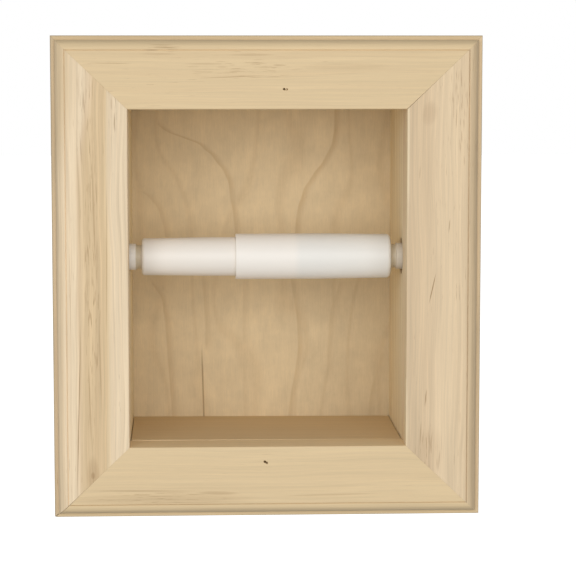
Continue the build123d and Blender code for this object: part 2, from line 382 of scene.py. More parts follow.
def moulding_back(sizes, width, count):
    """Back of the section with count stations: an eased edge, the lines of the mitre nail's
    slot and the relief groove."""
    round_ = sizes.back_arris
    nail = NAIL_SHARE * width
    edges = (-SLOT_EDGE, SLOT_EDGE)
    slot = [nail + side * NAIL_SLOT + edge for side in (-1, 1) for edge in edges]
    groove_end = sizes.groove_inset + sizes.groove_width
    head = np.vstack([
        arc(round_, round_, round_, round_, 180, 270, 4),
        [(round_ + SUPPORT, 0.0)],
        [(inset, 0.0) for inset in slot],
        [(sizes.groove_inset, 0.0), (sizes.groove_inset, sizes.groove_depth),
         (groove_end, sizes.groove_depth), (groove_end, 0.0)],
    ])
    rest = np.linspace(groove_end, width, count - len(head) + 1)[1:]
    return np.vstack([head, np.column_stack([rest, np.zeros(len(rest))])])


def inwards(loop):
    """Unit directions into a closed outline, square to the line between its neighbours."""
    along = np.roll(loop, -1, 0) - np.roll(loop, 1, 0)
    along /= np.maximum(np.linalg.norm(along, axis=1, keepdims=True), 1e-12)
    area = np.sum(loop[:, 0] * np.roll(loop[:, 1], -1) - loop[:, 1] * np.roll(loop[:, 0], -1))
    return np.column_stack([-along[:, 1], along[:, 0]]) * np.sign(area)


def lobes(along, across, shapes):
    """Depth of a brad's mark: the deepest of its lobes, each its depth times
    exp(-distance^4), with the distance counted in the lobe's own length and width."""
    depth = np.zeros_like(along)
    for centre_x, centre_z, long_, wide, turn, deep in shapes:
        c, s = cos(radians(turn)), sin(radians(turn))
        x, z = along / MM - centre_x, across / MM - centre_z
        distance = ((x * c + z * s) / long_) ** 2 + ((z * c - x * s) / wide) ** 2
        depth = np.maximum(depth, deep * MM * np.exp(-(distance ** 2)))
    return depth


def member_skin(sizes, side):
    """One length of moulding. The section is carried along the member; its ends lie on the
    mitres, where the distance from the middle falls linearly with the inset."""
    rail = side in ("top", "bottom")
    sign = 1 if side in ("top", "right") else -1
    width = RAIL_WIDTH if rail else STILE_WIDTH
    long_half, short_half = (HALF_WIDTH, OPENING_X) if rail else (HALF_HEIGHT, OPENING_Z)
    mark = BRAD_MARKS.get(side)
    front = moulding_front(sizes, width, HALF_HEIGHT - abs(mark[1]) if mark else None)
    back = moulding_back(sizes, width, len(front))
    loop = np.vstack([front, back[::-1]])
    is_front = np.arange(len(loop)) < len(front)
    normal = inwards(loop)
    clear = short_half - CORNER_ROOM

    def end_at(inset, end):
        outer, inner = GAPS.get((side, end), (0.0, 0.0))
        share = np.clip(inset / width, 0.0, 1.0)
        gap = outer * (1 - share) ** GAP_POWER + inner * share ** GAP_POWER
        return long_half + (short_half - long_half) * inset / width - gap

    def placed(along, inset, height):
        x, z = (along, sign * (HALF_HEIGHT - inset)) if rail else (
            sign * (HALF_WIDTH - inset), along)
        return np.stack(np.broadcast_arrays(x, -height, z), -1)

    rings = []
    easing = np.radians(np.array([0.0, 45.0, 90.0]))
    nail_room = end_at(NAIL_SHARE * width, 1) - clear
    shares = CORNER_SHARES + [(NAIL_LEG + edge) / nail_room for edge in (-SLOT_EDGE, SLOT_EDGE)]
    for end in (-1, 1):
        zone = []
        for angle in easing:
            inset_by = sizes.mitre_easing * (1 - sin(angle))
            ring = loop + normal * inset_by
            reach = end_at(ring[:, 0], end) - sizes.mitre_easing * (1 - cos(angle))
            zone.append((end * reach, ring))
        for share in sorted(shares):
            reach = end_at(loop[:, 0], end) - sizes.mitre_easing
            zone.append((end * (reach + (clear - reach) * share), loop))
        rings.append(zone if end < 0 else zone[::-1])
    fine = around([mark[0]], MARK_REACH, MARK_STEP) if mark else []
    middle = [(np.full(len(loop), s), loop) for s in stations(-clear, clear, 8 * MM, fine)]
    rings = rings[0] + middle + rings[1]
    along = np.stack([s for s, _ in rings])
    inset = np.stack([ring[:, 0] for _, ring in rings])
    height = np.stack([ring[:, 1] for _, ring in rings])

    # The mitre nail's slot in the back, open towards the mitre
    to_mitre = end_at(inset, 1) - np.abs(along)
    to_nail = np.abs(inset - NAIL_SHARE * width)
    cut = 1 - swell(NAIL_SLOT - SLOT_EDGE, NAIL_SLOT + SLOT_EDGE, to_nail)
    cut = cut * (1 - swell(NAIL_LEG - SLOT_EDGE, NAIL_LEG + SLOT_EDGE, to_mitre))
    height = height + np.where(is_front | (height > 0.2 * MM), 0.0, SLOT_DEPTH * cut)
    bruise = np.zeros_like(height)
    if mark:
        level = sign * (HALF_HEIGHT - inset)
        dent = lobes(along - mark[0], level - mark[1], mark[2])
        dent = np.where(is_front & (height > THICKNESS - 0.05 * MM), dent, 0.0)
        height = height - dent
        bruise = dent / MM
    points = placed(along, inset, height)
    skin = Skin()
    skin.add(points, wrap=True, marks=bruise)
    count = len(front)
    for ring in (points[0], points[-1]):
        skin.add(np.stack([ring[:count], ring[count:][::-1]]))
    return skin


# ---------------------------------------------------------------- boards
# Brads: through the sides at these depths, and through the back at these heights and places
# across. Grids are fine a little way past each hole's edge, and its wall slopes slightly.
SIDE_BRADS = (16.0 * MM, 54.0 * MM)
BACK_BRAD_HEIGHTS = (-62.0 * MM, 0.0, 62.0 * MM)
BACK_BRAD_PLACES = (-34.0 * MM, 34.0 * MM)
HOLE_MARGIN = 0.15 * MM
HOLE_STEP = 0.12 * MM
HOLE_WALL = (-0.05 * MM, 0.08 * MM)
PANEL_HOLE_STEP = 0.15 * MM
SOCKET_EASING = 0.12 * MM


def outline(us, vs, steps=4):
    """Border of a flat face as a closed loop, with the outward direction at each point:
    square to the sides, and fanned over a quarter turn at the corners."""
    u0, u1, v0, v1 = us[0], us[-1], vs[0], vs[-1]
    runs = (
        (us[1:-1], np.full(len(us) - 2, v0), -90, (u1, v0)),
        (np.full(len(vs) - 2, u1), vs[1:-1], 0, (u1, v1)),
        (us[1:-1][::-1], np.full(len(us) - 2, v1), 90, (u0, v1)),
        (np.full(len(vs) - 2, u0), vs[1:-1][::-1], 180, (u0, v0)),
    )
    base, turns = [], []
    for along_u, along_v, facing, corner in runs:
        base += [np.column_stack([along_u, along_v]), np.tile(corner, (steps + 1, 1))]
        turns += [np.full(len(along_u), facing), np.linspace(facing, facing + 90, steps + 1)]
    angle = np.radians(np.concatenate(turns))
    return np.vstack(base), np.column_stack([np.cos(angle), np.sin(angle)])


def placed_on(axes, u, v, w):
    """Puts board coordinates on the frame's axes: axes names those of u, v and w."""
    parts = dict(zip(axes, np.broadcast_arrays(u, v, w)))
    return np.stack([parts["x"], parts["y"], parts["z"]], -1)


def plank_skin(low, high, axes, easing, steps, fine=((), ()), relief=(None, None), socket=None):
    """A board with rounded edges: two flat faces and a band between them, which goes out by
    easing times sine while it rises by easing times one minus cosine. The faces' grid has
    these steps and the fine places along each axis. relief(u, v) gives the depth of the
    holes in the (low, high) face, and socket is the drilled one."""
    order = ["xyz".index(axis) for axis in axes]
    us, vs = [stations(low[i] + easing, high[i] - easing, step, extra)
              for i, step, extra in zip(order, steps, fine)]
    low_w, high_w = low[order[2]], high[order[2]]
    base, out = outline(us, vs)
    angle = np.radians(np.linspace(0, 90, 5))
    going_out, rising = easing * np.sin(angle), easing * (1 - np.cos(angle))
    offsets = np.concatenate([going_out, [easing, easing], going_out[::-1]])
    heights = np.concatenate([
        low_w + rising, [low_w + easing + SUPPORT, high_w - easing - SUPPORT],
        high_w - rising[::-1],
    ])
    band = base[None] + out[None] * offsets[:, None, None]
    skin = Skin()
    skin.add(placed_on(axes, band[..., 0], band[..., 1], heights[:, None]), wrap=True)
    u, v = np.meshgrid(us, vs, indexing="ij")
    for face, level, into in ((0, low_w, 1), (1, high_w, -1)):
        if socket and socket["face"] == face:
            skin.add(socket_patch(axes, base, level, into, socket), wrap=True)
            continue
        depth = relief[face](u, v) if relief[face] else np.zeros_like(u)
        skin.add(placed_on(axes, u, v, level + into * depth), marks=depth / MM)
    return skin


def socket_patch(axes, base, level, into, socket):
    """The face round a drilled socket, in rings about its centre: the border of the face,
    the mouth, the wall, the floor and the cone that the drill's spur leaves."""
    centre = np.array(socket["centre"])
    ray = base - centre
    unit = ray / np.linalg.norm(ray, axis=1, keepdims=True)
    radius, depth, spur = socket["radius"], socket["depth"], socket["spur"]
    ease = SOCKET_EASING
    rings = [
        (radius + ease + 0.25 * MM, 0.0), (radius + ease, 0.0),
        (radius + 0.3 * ease, 0.3 * ease),
        (radius, ease), (radius, ease + SUPPORT), (radius, depth - SUPPORT), (radius, depth),
        (radius - SUPPORT, depth), (2 * spur, depth), (spur, depth), (0.0, depth + spur),
    ]
    flat = [base] + [centre + unit * r for r, _ in rings]
    down = [0.0] + [d for _, d in rings]
    return np.stack([placed_on(axes, ring[:, 0], ring[:, 1], level + into * d)
                     for ring, d in zip(flat, down)])


def brad_holes(centres, radius, depth):
    """Depth of round holes at the centres: depth inside the radius, with a steep wall."""
    def relief(u, v):
        found = np.zeros_like(u)
        for centre_u, centre_v in centres:
            distance = np.hypot(u - centre_u, v - centre_v)
            hole = 1 - swell(*(radius + edge for edge in HOLE_WALL), distance)
            found = np.maximum(found, depth * hole)
        return found
    return relief


# ---------------------------------------------------------------- roller
GATE_RADIUS = 1.1 * MM
GATE_DEPTH = 0.15 * MM
NECK_BLEND = 0.3 * MM
NECK_FILLET = 0.15 * MM
MOUTH_EASING = 0.08 * MM
COLUMNS = 144
# Closed turns at each end of the spring, their pitch in wire radii, and the grid of the wire
CLOSED_TURNS = 1.5
CLOSED_PITCH = 2.1
TURN_STEPS = 44
WIRE_COLUMNS = 14


def tube_profile(sizes, shoulder, mouth, tip, radius, wall, rounding):
    """Half section of one tube as X and radius, from the middle of its knob's tip out along
    the skin to the mouth and back along the bore to the middle of the hollow."""
    neck_end = shoulder + sizes.neck_length
    knob, neck, edge = sizes.knob_radius, sizes.neck_radius, sizes.knob_rounding
    bore, cap = radius - wall, shoulder - sizes.end_wall
    core = tip - sizes.tip_wall
    blend, fillet = NECK_BLEND, NECK_FILLET
    body = stations(mouth + sizes.mouth, shoulder - rounding, 3 * MM)[::-1]

    def draft(x):
        return sizes.draft * swell(shoulder - sizes.draft_length, shoulder, x)

    drawn = radius - draft(shoulder - rounding)
    inside = stations(mouth, cap, 8 * MM)
    return np.vstack([
        [(tip - GATE_DEPTH, 0.0), (tip - GATE_DEPTH, GATE_RADIUS), (tip, GATE_RADIUS + 0.1 * MM)],
        [(tip, knob - sizes.tip_rounding - SUPPORT)],
        arc(tip - sizes.tip_rounding, knob - sizes.tip_rounding,
            sizes.tip_rounding, sizes.tip_rounding, 0, 90, 8),
        [(neck_end + edge + SUPPORT, knob)],
        arc(neck_end + edge, knob - edge, edge, edge, 90, 180, 5),
        arc(neck_end - fillet, neck + fillet, fillet, fillet, 0, -90, 3),
        arc(shoulder + blend, neck + blend, blend, blend, 270, 180, 4),
        [(shoulder, drawn - rounding - SUPPORT)],
        arc(shoulder - rounding, drawn - rounding, rounding, rounding, 0, 90, 10),
        np.column_stack([body, radius - draft(body)]),
        [(mouth + 0.4 * sizes.mouth, radius - 0.15 * sizes.mouth)],
        [(mouth, radius - 0.6 * sizes.mouth), (mouth, bore + MOUTH_EASING)],
        [(mouth + MOUTH_EASING, bore)],
        np.column_stack([inside[1:-1], np.full(len(inside) - 2, bore)]),
        [(cap, bore), (cap, bore - SUPPORT), (cap, sizes.core_radius + SUPPORT)],
        [(cap, sizes.core_radius), (cap + SUPPORT, sizes.core_radius)],
        [(core - SUPPORT, sizes.core_radius), (core, sizes.core_radius), (core, 0.0)],
    ])


def turned(profile, side):
    """The profile turned about the roller's axis: X is kept, and the radius goes round with
    cosine along Y and sine along Z."""
    angle = np.linspace(0, 2 * pi, COLUMNS, endpoint=False)
    x = side * profile[:, :1] * np.ones(COLUMNS)
    y = AXIS_Y + profile[:, 1:] * np.cos(angle)
    z = AXIS_Z + profile[:, 1:] * np.sin(angle)
    skin = Skin()
    skin.add(np.stack([x, y, z], -1), wrap=True)
    return skin


def coil_skin(sizes, start, stop):
    """Wire along a helix: the centre goes round at the coil's radius while X follows the
    lead, which is closed at both ends; rings of the wire stand on the radial and the cross
    direction. The ends of the wire come to a point in its middle."""
    turns, closed = sizes.coil_turns, CLOSED_TURNS
    turn = np.linspace(0, turns, turns * TURN_STEPS + 1)
    wire = CLOSED_PITCH * sizes.wire_radius
    open_share = np.clip((turn - closed) / (turns - 2 * closed), 0, 1)
    dead = np.clip(turn, 0, closed) + np.clip(turn - (turns - closed), 0, closed)
    span = (stop - start) - 2 * closed * wire
    x = start + dead * wire + open_share * span
    angle = 2 * pi * turn
    radial = np.column_stack([np.zeros_like(angle), np.cos(angle), np.sin(angle)])
    centre = np.column_stack([x, np.full_like(x, AXIS_Y), np.full_like(x, AXIS_Z)])
    centre = centre + sizes.coil_radius * radial
    forward = np.gradient(centre, axis=0)
    forward /= np.linalg.norm(forward, axis=1, keepdims=True)
    across = np.cross(forward, radial)
    thickness = np.full(len(turn), sizes.wire_radius)
    thickness[[0, -1]] = 0.0
    centre[0], centre[-1] = centre[1], centre[-2]
    around_wire = np.linspace(0, 2 * pi, WIRE_COLUMNS, endpoint=False)
    ring = (radial[:, None] * np.cos(around_wire)[None, :, None]
            + across[:, None] * np.sin(around_wire)[None, :, None])
    skin = Skin()
    skin.add(centre[:, None] + ring * thickness[:, None, None], wrap=True)
    return skin


# ---------------------------------------------------------------- shader maths
class Value:
    """A socket whose arithmetic adds Math nodes, with numbers or other values."""

    def __init__(self, shader, socket):
        self.shader, self.socket = shader, socket

    def __add__(self, other):
        return self.shader.math("ADD", self, other)

    def __sub__(self, other):
        return self.shader.math("SUBTRACT", self, other)

    def __rsub__(self, other):
        return self.shader.math("SUBTRACT", other, self)

    def __mul__(self, other):
        return self.shader.math("MULTIPLY", self, other)

    def __truediv__(self, other):
        return self.shader.math("DIVIDE", self, other)

    __radd__ = __add__
    __rmul__ = __mul__


class Shader:
    """One material, and short calls for the nodes behind its Principled shader."""

    def __init__(self, name):
        self.material = bpy.data.materials.new(name)
        self.material.use_nodes = True
        self.tree = self.material.node_tree
        self.tree.nodes.clear()

    def node(self, kind, inputs, output=0, **settings):
        """Adds a node: its settings first, then the numbers or links of its sockets."""
        node = self.tree.nodes.new(kind)
        for key, value in settings.items():
            if key == "stops":
                self.set_stops(node.color_ramp, value)
            else:
                setattr(node, key, value)
        for key, value in inputs.items():
            if isinstance(value, Value):
                self.tree.links.new(value.socket, node.inputs[key])
            else:
                node.inputs[key].default_value = value
        return Value(self, node.outputs[output])

    def set_stops(self, ramp, stops):
        """Replaces a ramp's stops with (position, colour) pairs, joined by a smooth curve."""
        ramp.interpolation = "CARDINAL"
        while len(ramp.elements) < len(stops):
            ramp.elements.new(1.0)
        for element, (position, tint) in zip(ramp.elements, stops):
            element.position, element.color = position, tint

    def math(self, operation, first, second=0.0):
        return self.node("ShaderNodeMath", {0: first, 1: second}, operation=operation)

    def vector(self, operation, first, second, output=0):
        return self.node(
            "ShaderNodeVectorMath", {0: first, 1: second}, output, operation=operation)

    def axes(self, vector):
        """The three parts of a vector."""
        split = self.tree.nodes.new("ShaderNodeSeparateXYZ")
        self.tree.links.new(vector.socket, split.inputs[0])
        return [Value(self, socket) for socket in split.outputs]

    def join(self, x, y, z):
        return self.node("ShaderNodeCombineXYZ", {0: x, 1: y, 2: z})

    def millimetres(self):
        """Object coordinates in millimetres."""
        place = self.node("ShaderNodeTexCoord", {}, "Object")
        return self.vector("MULTIPLY", place, (1000.0,) * 3)

    def noise(self, vector, detail=2.0, rough=0.5, scale=1.0, twist=0.0):
        inputs = {"Vector": vector, "Scale": scale, "Detail": detail,
                  "Roughness": rough, "Distortion": twist}
        return self.node("ShaderNodeTexNoise", inputs, "Fac", noise_dimensions="3D")

    def step(self, low, high, value):
        """Smooth step from 0 at low to 1 at high; low above high turns it round."""
        inputs = {"Value": value, "From Min": low, "From Max": high}
        return self.node("ShaderNodeMapRange", inputs, interpolation_type="SMOOTHSTEP")

    def mix(self, factor, first, second, blend="MIX"):
        return self.node("ShaderNodeMix", {0: factor, 6: first, 7: second}, 2,
                         data_type="RGBA", blend_type=blend)

    def shade(self, tint, amount):
        """A colour made darker or lighter by a number near one."""
        return self.mix(1.0, tint, amount, "MULTIPLY")

    def vary(self, tint, *noises):
        """A colour shaded by noises, each with its strength, about their middle of 0.5."""
        amount = 1.0
        for value, strength in noises:
            amount = amount + (value - 0.5) * strength
        return self.shade(tint, amount)

    def ramp(self, value, stops):
        return self.node("ShaderNodeValToRGB", {"Fac": value}, "Color", stops=stops)

    def finish(self, tint, roughness, height, bump, **constants):
        """Joins colour, roughness and relief to the shader, and sets its fixed sockets."""
        normal = self.node("ShaderNodeBump",
                           {"Height": height, "Strength": 1.0, "Distance": bump}, "Normal")
        inputs = {"Base Color": tint, "Roughness": roughness, "Normal": normal}
        inputs.update({key.replace("_", " "): value for key, value in constants.items()})
        shader = self.node("ShaderNodeBsdfPrincipled", inputs, "BSDF")
        end = self.tree.nodes.new("ShaderNodeOutputMaterial")
        self.tree.links.new(shader.socket, end.inputs["Surface"])
        return self.material


# ---------------------------------------------------------------- wood
def grain_axes(shader, along):
    """Millimetres along the grain, across it and through it, and how far the surface
    faces along the grain."""
    place = shader.axes(shader.millimetres())
    facing = shader.axes(shader.node("ShaderNodeTexCoord", {}, "Normal"))
    order = {"x": (0, 2, 1), "z": (2, 0, 1), "side": (2, 1, 0), "floor": (0, 1, 2)}[along]
    return [place[i] for i in order] + [shader.math("ABSOLUTE", facing[order[0]])]


def pine(name, along, look):
    """Planed pine. The growth rings are the distance from a heart line beside the piece,
    bent by a slow wander; a ring darkens smoothly from its early share on and ends sharply.
    Fibres and resin canals are noise stretched along the grain. Places are in millimetres."""
    finish = bpy.context.scene.holder_finish
    shader = Shader(name)
    a, c, d, end_face = grain_axes(shader, along)
    seed = look["seed"]

    def figure(run, across, *settings, shift=seed):
        """Noise with one scale along the grain and one across it."""
        return shader.noise(shader.join(a * run + shift, c * across, d * across), *settings)

    wander = (figure(0.011, 0.045, 2.0) - 0.5) * look.get("wander", 7.0)
    heart_c, heart_d = look["heart"]
    bent_c, bent_d = c + wander - heart_c, d + wander * 0.4 - heart_d
    radius = shader.math("SQRT", bent_c * bent_c + bent_d * bent_d)
    fibre = figure(0.03, 2.6, 4.0, 0.62)
    fine = figure(0.22, 9.0, 2.0)
    broad = figure(0.008, 0.09, 3.0, 0.6)
    grain = shader.noise(shader.join(a * 0.012 + seed, (c + wander) * 0.75, d * 0.75), 4.0, 0.6)
    ring = shader.math("FRACT", radius / look["ring"] + fibre * 0.16 + seed)
    late = shader.step(look.get("early", 0.25), 0.92, ring) * shader.step(1.0, 0.94, ring)

    # Ground tint: bands across the member that wander and narrow, holding the wood's tone with
    # painted shade and light across the moulding, or one colour
    side, origin, width = look.get("inset", (0, 0.0, 0.0))
    from_edge = origin - c * side
    if "bands" in look:
        crook = ((grain - 0.5) * 5.0 + wander * 0.35) * shader.step(7.0, 12.0, from_edge)
        inset = from_edge + crook
        if "narrowing" in look:
            start, stop, shift = look["narrowing"]
            inset -= shader.step(start, stop, a) * shader.step(27.0, 20.0, from_edge) * shift
        tint = shader.ramp(inset / width, [(p / width, linear(*rgb)) for p, rgb in look["bands"]])
    else:
        tint = (*look["pale"], 1.0)
    patchy = shader.math("MAXIMUM", shader.step(0.2, 0.75, broad), look.get("steady", 0.0))
    tint = shader.mix(late * look["contrast"] * patchy, tint, (*finish.latewood, 1.0))
    tint = shader.vary(tint, (fibre, look.get("fibre", 0.16)), (fine, 0.10))
    tint = shader.vary(tint, (broad, look.get("broad", 0.16)))
    tint = shader.vary(tint, (grain, -look.get("grain", 0.25)))
    # Painted shade on the moulding: on its lip, and in the step beside the lip, fading up the
    # curve; the rounding of the outer edge is also darker
    if "lip" in look:
        tint = shader.shade(tint, 1.0 - shader.step(2.2, 1.8, from_edge) * look["lip"])
        step_shade_mask = shader.step(5.8, 2.2, from_edge) * shader.step(1.9, 2.1, from_edge)
        tint = shader.shade(tint, 1.0 - step_shade_mask * look["step_shade"])
        outer_rim = shader.step(0.7, 0.1, from_edge) * shader.step(-11.0, -12.2, d)
        tint = shader.shade(tint, 1.0 - outer_rim * 0.25)

    # Resin flecks: scattered in patches, many in the areas, and single streaks
    canal = figure(0.10, 2.1, 2.0, 0.5, shift=seed * 3)
    patch = figure(0.02, 0.08, 1.0, shift=seed * 7)
    flecks = shader.step(0.66, 0.74, canal) * shader.step(0.42, 0.62, patch)
    flecks = flecks * look["flecks"]

    def oval(place, inset_at, long_, wide, slant=0.0):
        """One at a place and inset, falling to zero at the border of an oval round it."""
        far = (a - place) / (long_ / 2)
        off = (from_edge - inset_at + (a - place) * slant) / wide
        return shader.step(1.0, 0.0, far * far + off * off)

    for area in look.get("areas", ()):
        some = oval(*area) * shader.step(0.56, 0.68, canal) * 0.5
        flecks = shader.math("MAXIMUM", flecks, some)
    for *spot, strength in look.get("streaks", ()):
        line = oval(*spot) * strength * (0.5 + canal)
        flecks = shader.math("MAXIMUM", flecks, line)
    tint = shader.mix(flecks, tint, (*finish.streak, 1.0))

    # Painted shade in the dents over the brads and in the brad holes, darker with their depth,
    # and the sawn ends
    bruise = shader.node("ShaderNodeAttribute", {}, "Fac", attribute_name="bruise")
    tint = shader.mix(shader.step(0.05, 1.0, bruise) * 0.9, tint, (*finish.bruise, 1.0))
    end_grain = shader.step(0.5, 0.9, end_face)
    tint = shader.mix(end_grain * 0.45, tint, (*finish.end_grain, 1.0))
    rough = 0.62 + (fibre - 0.5) * 0.2 - late * 0.08 + end_grain * 0.15
    height = fibre * 0.5 + fine * 0.35 + late * 0.12 - flecks * 0.6
    return shader.finish(tint, rough, height, 0.06 * MM, Specular_IOR_Level=0.3)


# Tints of the stiles from the outer edge in, as an inset and display values: the wood's tone,
# with painted shade on the lip and the curve by the outer edge, deepest on the right stile's
# curve, and painted light on the right stile's inner edge
LEFT_BANDS = [
    (0.0, (222, 198, 160)), (6.5, (238, 216, 182)), (10.8, (239, 217, 183)),
    (12.6, (231, 206, 170)), (14.6, (226, 200, 160)), (23.5, (223, 196, 155)),
    (25.6, (227, 202, 162)), (27.6, (238, 216, 182)), (36.0, (239, 217, 183)),
]
RIGHT_BANDS = [
    (0.0, (224, 199, 160)), (4.5, (214, 190, 153)), (7.2, (222, 198, 162)),
    (8.6, (230, 206, 170)), (17.0, (232, 208, 172)), (24.0, (228, 203, 167)),
    (30.0, (224, 199, 163)), (35.4, (222, 198, 163)), (36.0, (242, 222, 186)),
]
# Marks of one member: place along, inset, length, half width, slant and strength
RIGHT_STREAKS = [
    (-4.7, 23.7, 17.0, 0.34, 0.22, 0.75), (25.0, 15.9, 8.0, 0.3, 0.08, 0.5),
    (-57.0, 26.6, 10.0, 0.32, 0.10, 0.55), (78.0, 25.5, 14.0, 4.5, 0.10, 0.16),
    (-79.0, 24.0, 15.0, 0.5, 0.12, 0.32), (-87.0, 20.0, 13.0, 0.5, 0.08, 0.3),
    (-75.0, 29.0, 16.0, 0.45, 0.05, 0.3), (-91.0, 27.0, 12.0, 0.5, 0.10, 0.28),
    (-84.0, 25.0, 32.0, 8.0, 0.08, 0.12), (50.0, 30.0, 8.0, 0.25, 0.05, 0.3),
]
LEFT_STREAKS = [
    (-63.5, 12.2, 96.0, 0.36, -0.029, 0.6), (74.0, 30.0, 12.0, 0.28, 0.0, 0.55),
    (88.0, 30.6, 16.0, 0.3, 0.0, 0.5), (95.0, 27.6, 26.0, 0.35, 0.0, 0.4),
    (90.0, 13.6, 18.0, 0.3, 0.0, 0.25), (84.0, 15.8, 12.0, 0.25, 0.0, 0.4),
    (62.0, 14.2, 18.0, 0.3, 0.05, 0.35), (-60.0, 17.5, 48.0, 0.4, 0.03, 0.35),
    (30.0, 20.0, 64.0, 0.5, 0.02, 0.3), (8.0, 25.8, 90.0, 0.4, -0.01, 0.3),
    (-40.0, 22.5, 54.0, 0.4, 0.02, 0.3), (-93.2, 18.6, 5.5, 1.5, 0.0, 0.5),
    (-93.2, 18.6, 22.0, 3.6, 0.0, 0.25), (-10.0, 8.6, 64.0, 0.3, 0.01, 0.25),
]
TOP_STREAKS = [
    (-49.5, 4.4, 14.0, 0.35, 0.0, 0.3), (-48.0, 5.8, 11.0, 0.28, 0.0, 0.25),
    (-51.0, 8.6, 20.0, 0.5, 0.0, 0.2), (-73.5, 12.9, 24.0, 0.28, -0.01, 0.32),
    (-17.5, 19.3, 38.0, 0.3, 0.043, 0.32), (-30.0, 13.2, 22.0, 0.5, 0.0, 0.18),
    (-8.0, 9.0, 26.0, 0.7, 0.0, 0.2), (36.0, 14.5, 50.0, 2.2, 0.01, 0.10),
]
BOTTOM_STREAKS = [
    (-50.0, 9.6, 110.0, 3.4, 0.0, 0.16), (-24.0, 12.2, 24.0, 1.2, 0.02, 0.25),
    (-60.0, 13.6, 60.0, 0.5, 0.01, 0.25), (-38.0, 7.9, 70.0, 0.4, -0.01, 0.25),
    (30.0, 11.0, 60.0, 0.5, -0.02, 0.2),
]
# Places with many fine flecks: place along, inset, length and half width
RIGHT_AREAS = [(85.0, 11.5, 46.0, 6.5), (62.0, 10.0, 24.0, 3.0), (-84.0, 25.0, 40.0, 8.0)]
LEFT_AREAS = [(84.0, 30.2, 50.0, 2.4), (84.0, 16.5, 44.0, 5.0), (0.0, 19.0, 190.0, 5.0)]
TOP_AREAS = [(-50.0, 6.0, 20.0, 3.5), (-10.0, 16.0, 60.0, 6.0)]
BOTTOM_AREAS = [(-50.0, 10.0, 90.0, 4.0)]


def frame_looks():
    """Grain, tint and marks of the four frame members. inset holds the side that the outer
    edge is on, its distance from the middle and the member's width in millimetres."""
    gold = tuple(bpy.context.scene.holder_finish.gold_pine)
    half_w, half_h = HALF_WIDTH / MM, HALF_HEIGHT / MM
    stile, rail = STILE_WIDTH / MM, RAIL_WIDTH / MM
    return {
        "left": ("z", {
            "seed": 3.1, "heart": (-150.0, 22.0), "ring": 3.4, "contrast": 0.16,
            "bands": LEFT_BANDS, "inset": (-1, half_w, stile), "narrowing": (40.0, 95.0, 6.0),
            "streaks": LEFT_STREAKS, "areas": LEFT_AREAS, "flecks": 0.4,
            "grain": 0.6, "fibre": 0.24, "lip": 0.14, "step_shade": 0.03}),
        "right": ("z", {
            "seed": 8.7, "heart": (60.0, 90.0), "ring": 4.2, "contrast": 0.10,
            "bands": RIGHT_BANDS, "inset": (1, half_w, stile),
            "streaks": RIGHT_STREAKS, "areas": RIGHT_AREAS, "flecks": 0.4,
            "grain": 0.5, "fibre": 0.24, "lip": 0.0, "step_shade": 0.1}),
        "top": ("x", {
            "seed": 5.3, "heart": (140.0, 60.0), "ring": 4.0, "contrast": 0.12,
            "pale": gold, "inset": (1, half_h, rail),
            "streaks": TOP_STREAKS, "areas": TOP_AREAS, "flecks": 0.25,
            "broad": 0.1, "lip": 0.1, "step_shade": 0.18}),
        "bottom": ("x", {
            "seed": 12.9, "heart": (-60.0, 120.0), "ring": 5.0, "contrast": 0.09,
            "pale": gold, "inset": (-1, half_h, rail),
            "streaks": BOTTOM_STREAKS, "areas": BOTTOM_AREAS, "flecks": 0.15,
            "broad": 0.12, "grain": 0.28, "lip": 0.03, "step_shade": 0.23}),
    }


# Figure of the veneer: lines as (height, place across) from the bottom up, and their strength
VENEER_LINES = [
    (((6.0, -13.0), (20.0, -13.4), (31.0, -15.1), (42.0, -16.8), (49.0, -20.8),
      (56.0, -26.7), (61.0, -33.5), (65.0, -45.0), (72.0, -54.0)), 0.55),
    (((6.0, 17.5), (22.0, 18.2), (31.0, 20.2), (39.5, 23.6), (48.0, 29.6),
      (57.0, 35.0), (65.5, 37.3), (84.0, 37.5)), 0.6),
    (((8.0, -48.0), (20.0, -49.8), (29.0, -53.2), (35.0, -59.2), (39.0, -67.0)), 0.35),
    (((-84.0, -45.3), (-68.0, -46.2), (-54.0, -47.2), (-38.7, -48.2), (-26.5, -49.3),
      (-17.0, -51.5), (-8.0, -57.0)), 0.5),
    (((-84.0, 13.9), (-66.0, 15.9), (-51.0, 18.5), (-37.0, 19.0), (-23.0, 17.6),
      (-6.0, 15.0)), 0.45),
    (((-46.0, -28.4), (-30.0, -28.4), (-6.0, -30.0)), 0.35),
    (((-84.0, -8.8), (-40.0, -9.2), (-6.0, -8.8)), 0.22),
    (((-60.0, 34.0), (-40.0, 34.7), (-23.0, 36.4), (-8.0, 41.0)), 0.25),
    (((-84.0, 54.8), (-63.0, 57.7), (-45.0, 62.0)), 0.3),
]
# Half the span that a line's heights and places are scaled by, in millimetres
VENEER_REACH = 90.0


def veneer_line(shader, x, z, points):
    """Mask of a slow line in the veneer: one on the curve through the points, falling off
    sharply on its outer side and slowly on the other."""
    def share_of(place):
        return (place + VENEER_REACH) / (2 * VENEER_REACH)

    stops = [(share_of(h), (*[share_of(p)] * 3, 1.0)) for h, p in points]
    share = share_of(z)
    off = x - (shader.ramp(share, stops) * (2 * VENEER_REACH) - VENEER_REACH)
    inside = shader.step(stops[0][0] - 0.01, stops[0][0] + 0.03, share)
    inside = inside * shader.step(stops[-1][0] + 0.01, stops[-1][0] - 0.03, share)
    return shader.step(-1.0, 0.0, off) * shader.step(4.0, 0.0, off) * inside


